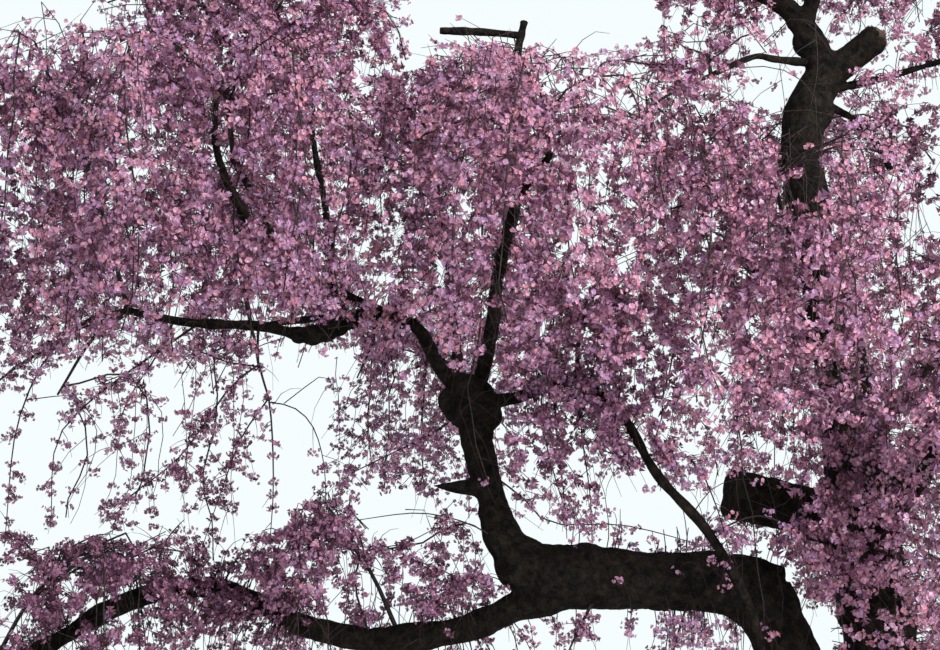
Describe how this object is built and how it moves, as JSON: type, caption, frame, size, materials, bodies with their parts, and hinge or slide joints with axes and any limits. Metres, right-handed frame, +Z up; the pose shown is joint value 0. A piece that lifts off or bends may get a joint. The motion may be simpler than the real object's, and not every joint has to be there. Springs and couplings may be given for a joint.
{
  "type": "weeping cherry tree in blossom",
  "caption": "Old weeping cherry tree in full pink blossom, with a flared trunk forking low, crooked and sawn boughs and hanging masses of blossoming twigs.",
  "frame": {"origin": "middle of the flat cut under the trunk at ground level", "axes": "+Z up along the trunk, +X towards the right of the side that the picture shows, +Y away from that side"},
  "size_m": [9.9869, 6.113, 8.1469],
  "materials": {
    "bark": "rough dark grey-brown cherry bark with plates and pores, damp-looking in shade",
    "blossom": "matte double pink petals in clusters on dark hanging twigs"
  },
  "bodies": {
    "root": {"trunk": "bark", "left_stem": "bark", "right_stem": "bark", "left_limb": "bark", "left_leader": "bark", "low_bough_inner": "bark", "low_bough_outer": "bark", "middle_bough": "bark", "crown_stub": "bark", "fork_bough": "bark", "front_bough": "bark", "hanging_bough": "bark", "level_bough": "bark", "inner_bough": "bark", "broken_snag": "bark", "sawn_limb": "bark", "sawn_stub": "bark", "top_bough_left": "bark", "top_bough_upright": "bark", "high_left_bough": "bark", "high_right_bough": "bark", "right_bough": "bark", "rear_left_bough": "bark", "rear_outer_bough": "bark", "rear_middle_bough": "bark", "rear_right_bough": "bark", "side_right_bough": "bark", "front_right_bough": "bark", "high_front_bough": "bark", "front_left_bough": "bark", "front_middle_bough": "bark", "front_left_blossom": "blossom", "far_left_blossom": "blossom", "left_top_blossom": "blossom", "middle_top_blossom": "blossom", "middle_front_blossom": "blossom", "middle_low_blossom": "blossom", "right_front_blossom": "blossom", "right_curtain_blossom": "blossom", "inner_curtain_blossom": "blossom", "high_left_blossom": "blossom", "top_left_blossom": "blossom", "top_blossom": "blossom", "high_right_blossom": "blossom", "right_rear_high_blossom": "blossom", "right_side_blossom": "blossom", "right_low_blossom": "blossom", "front_right_blossom": "blossom", "rear_right_blossom": "blossom", "rear_right_low_blossom": "blossom", "rear_middle_blossom": "blossom", "rear_middle_low_blossom": "blossom", "rear_left_blossom": "blossom", "rear_left_low_blossom": "blossom", "rear_outer_blossom": "blossom", "far_left_low_blossom": "blossom", "low_left_blossom": "blossom", "low_middle_blossom": "blossom", "level_curtain_blossom": "blossom", "behind_leader_blossom": "blossom"}
  },
  "joints": []
}
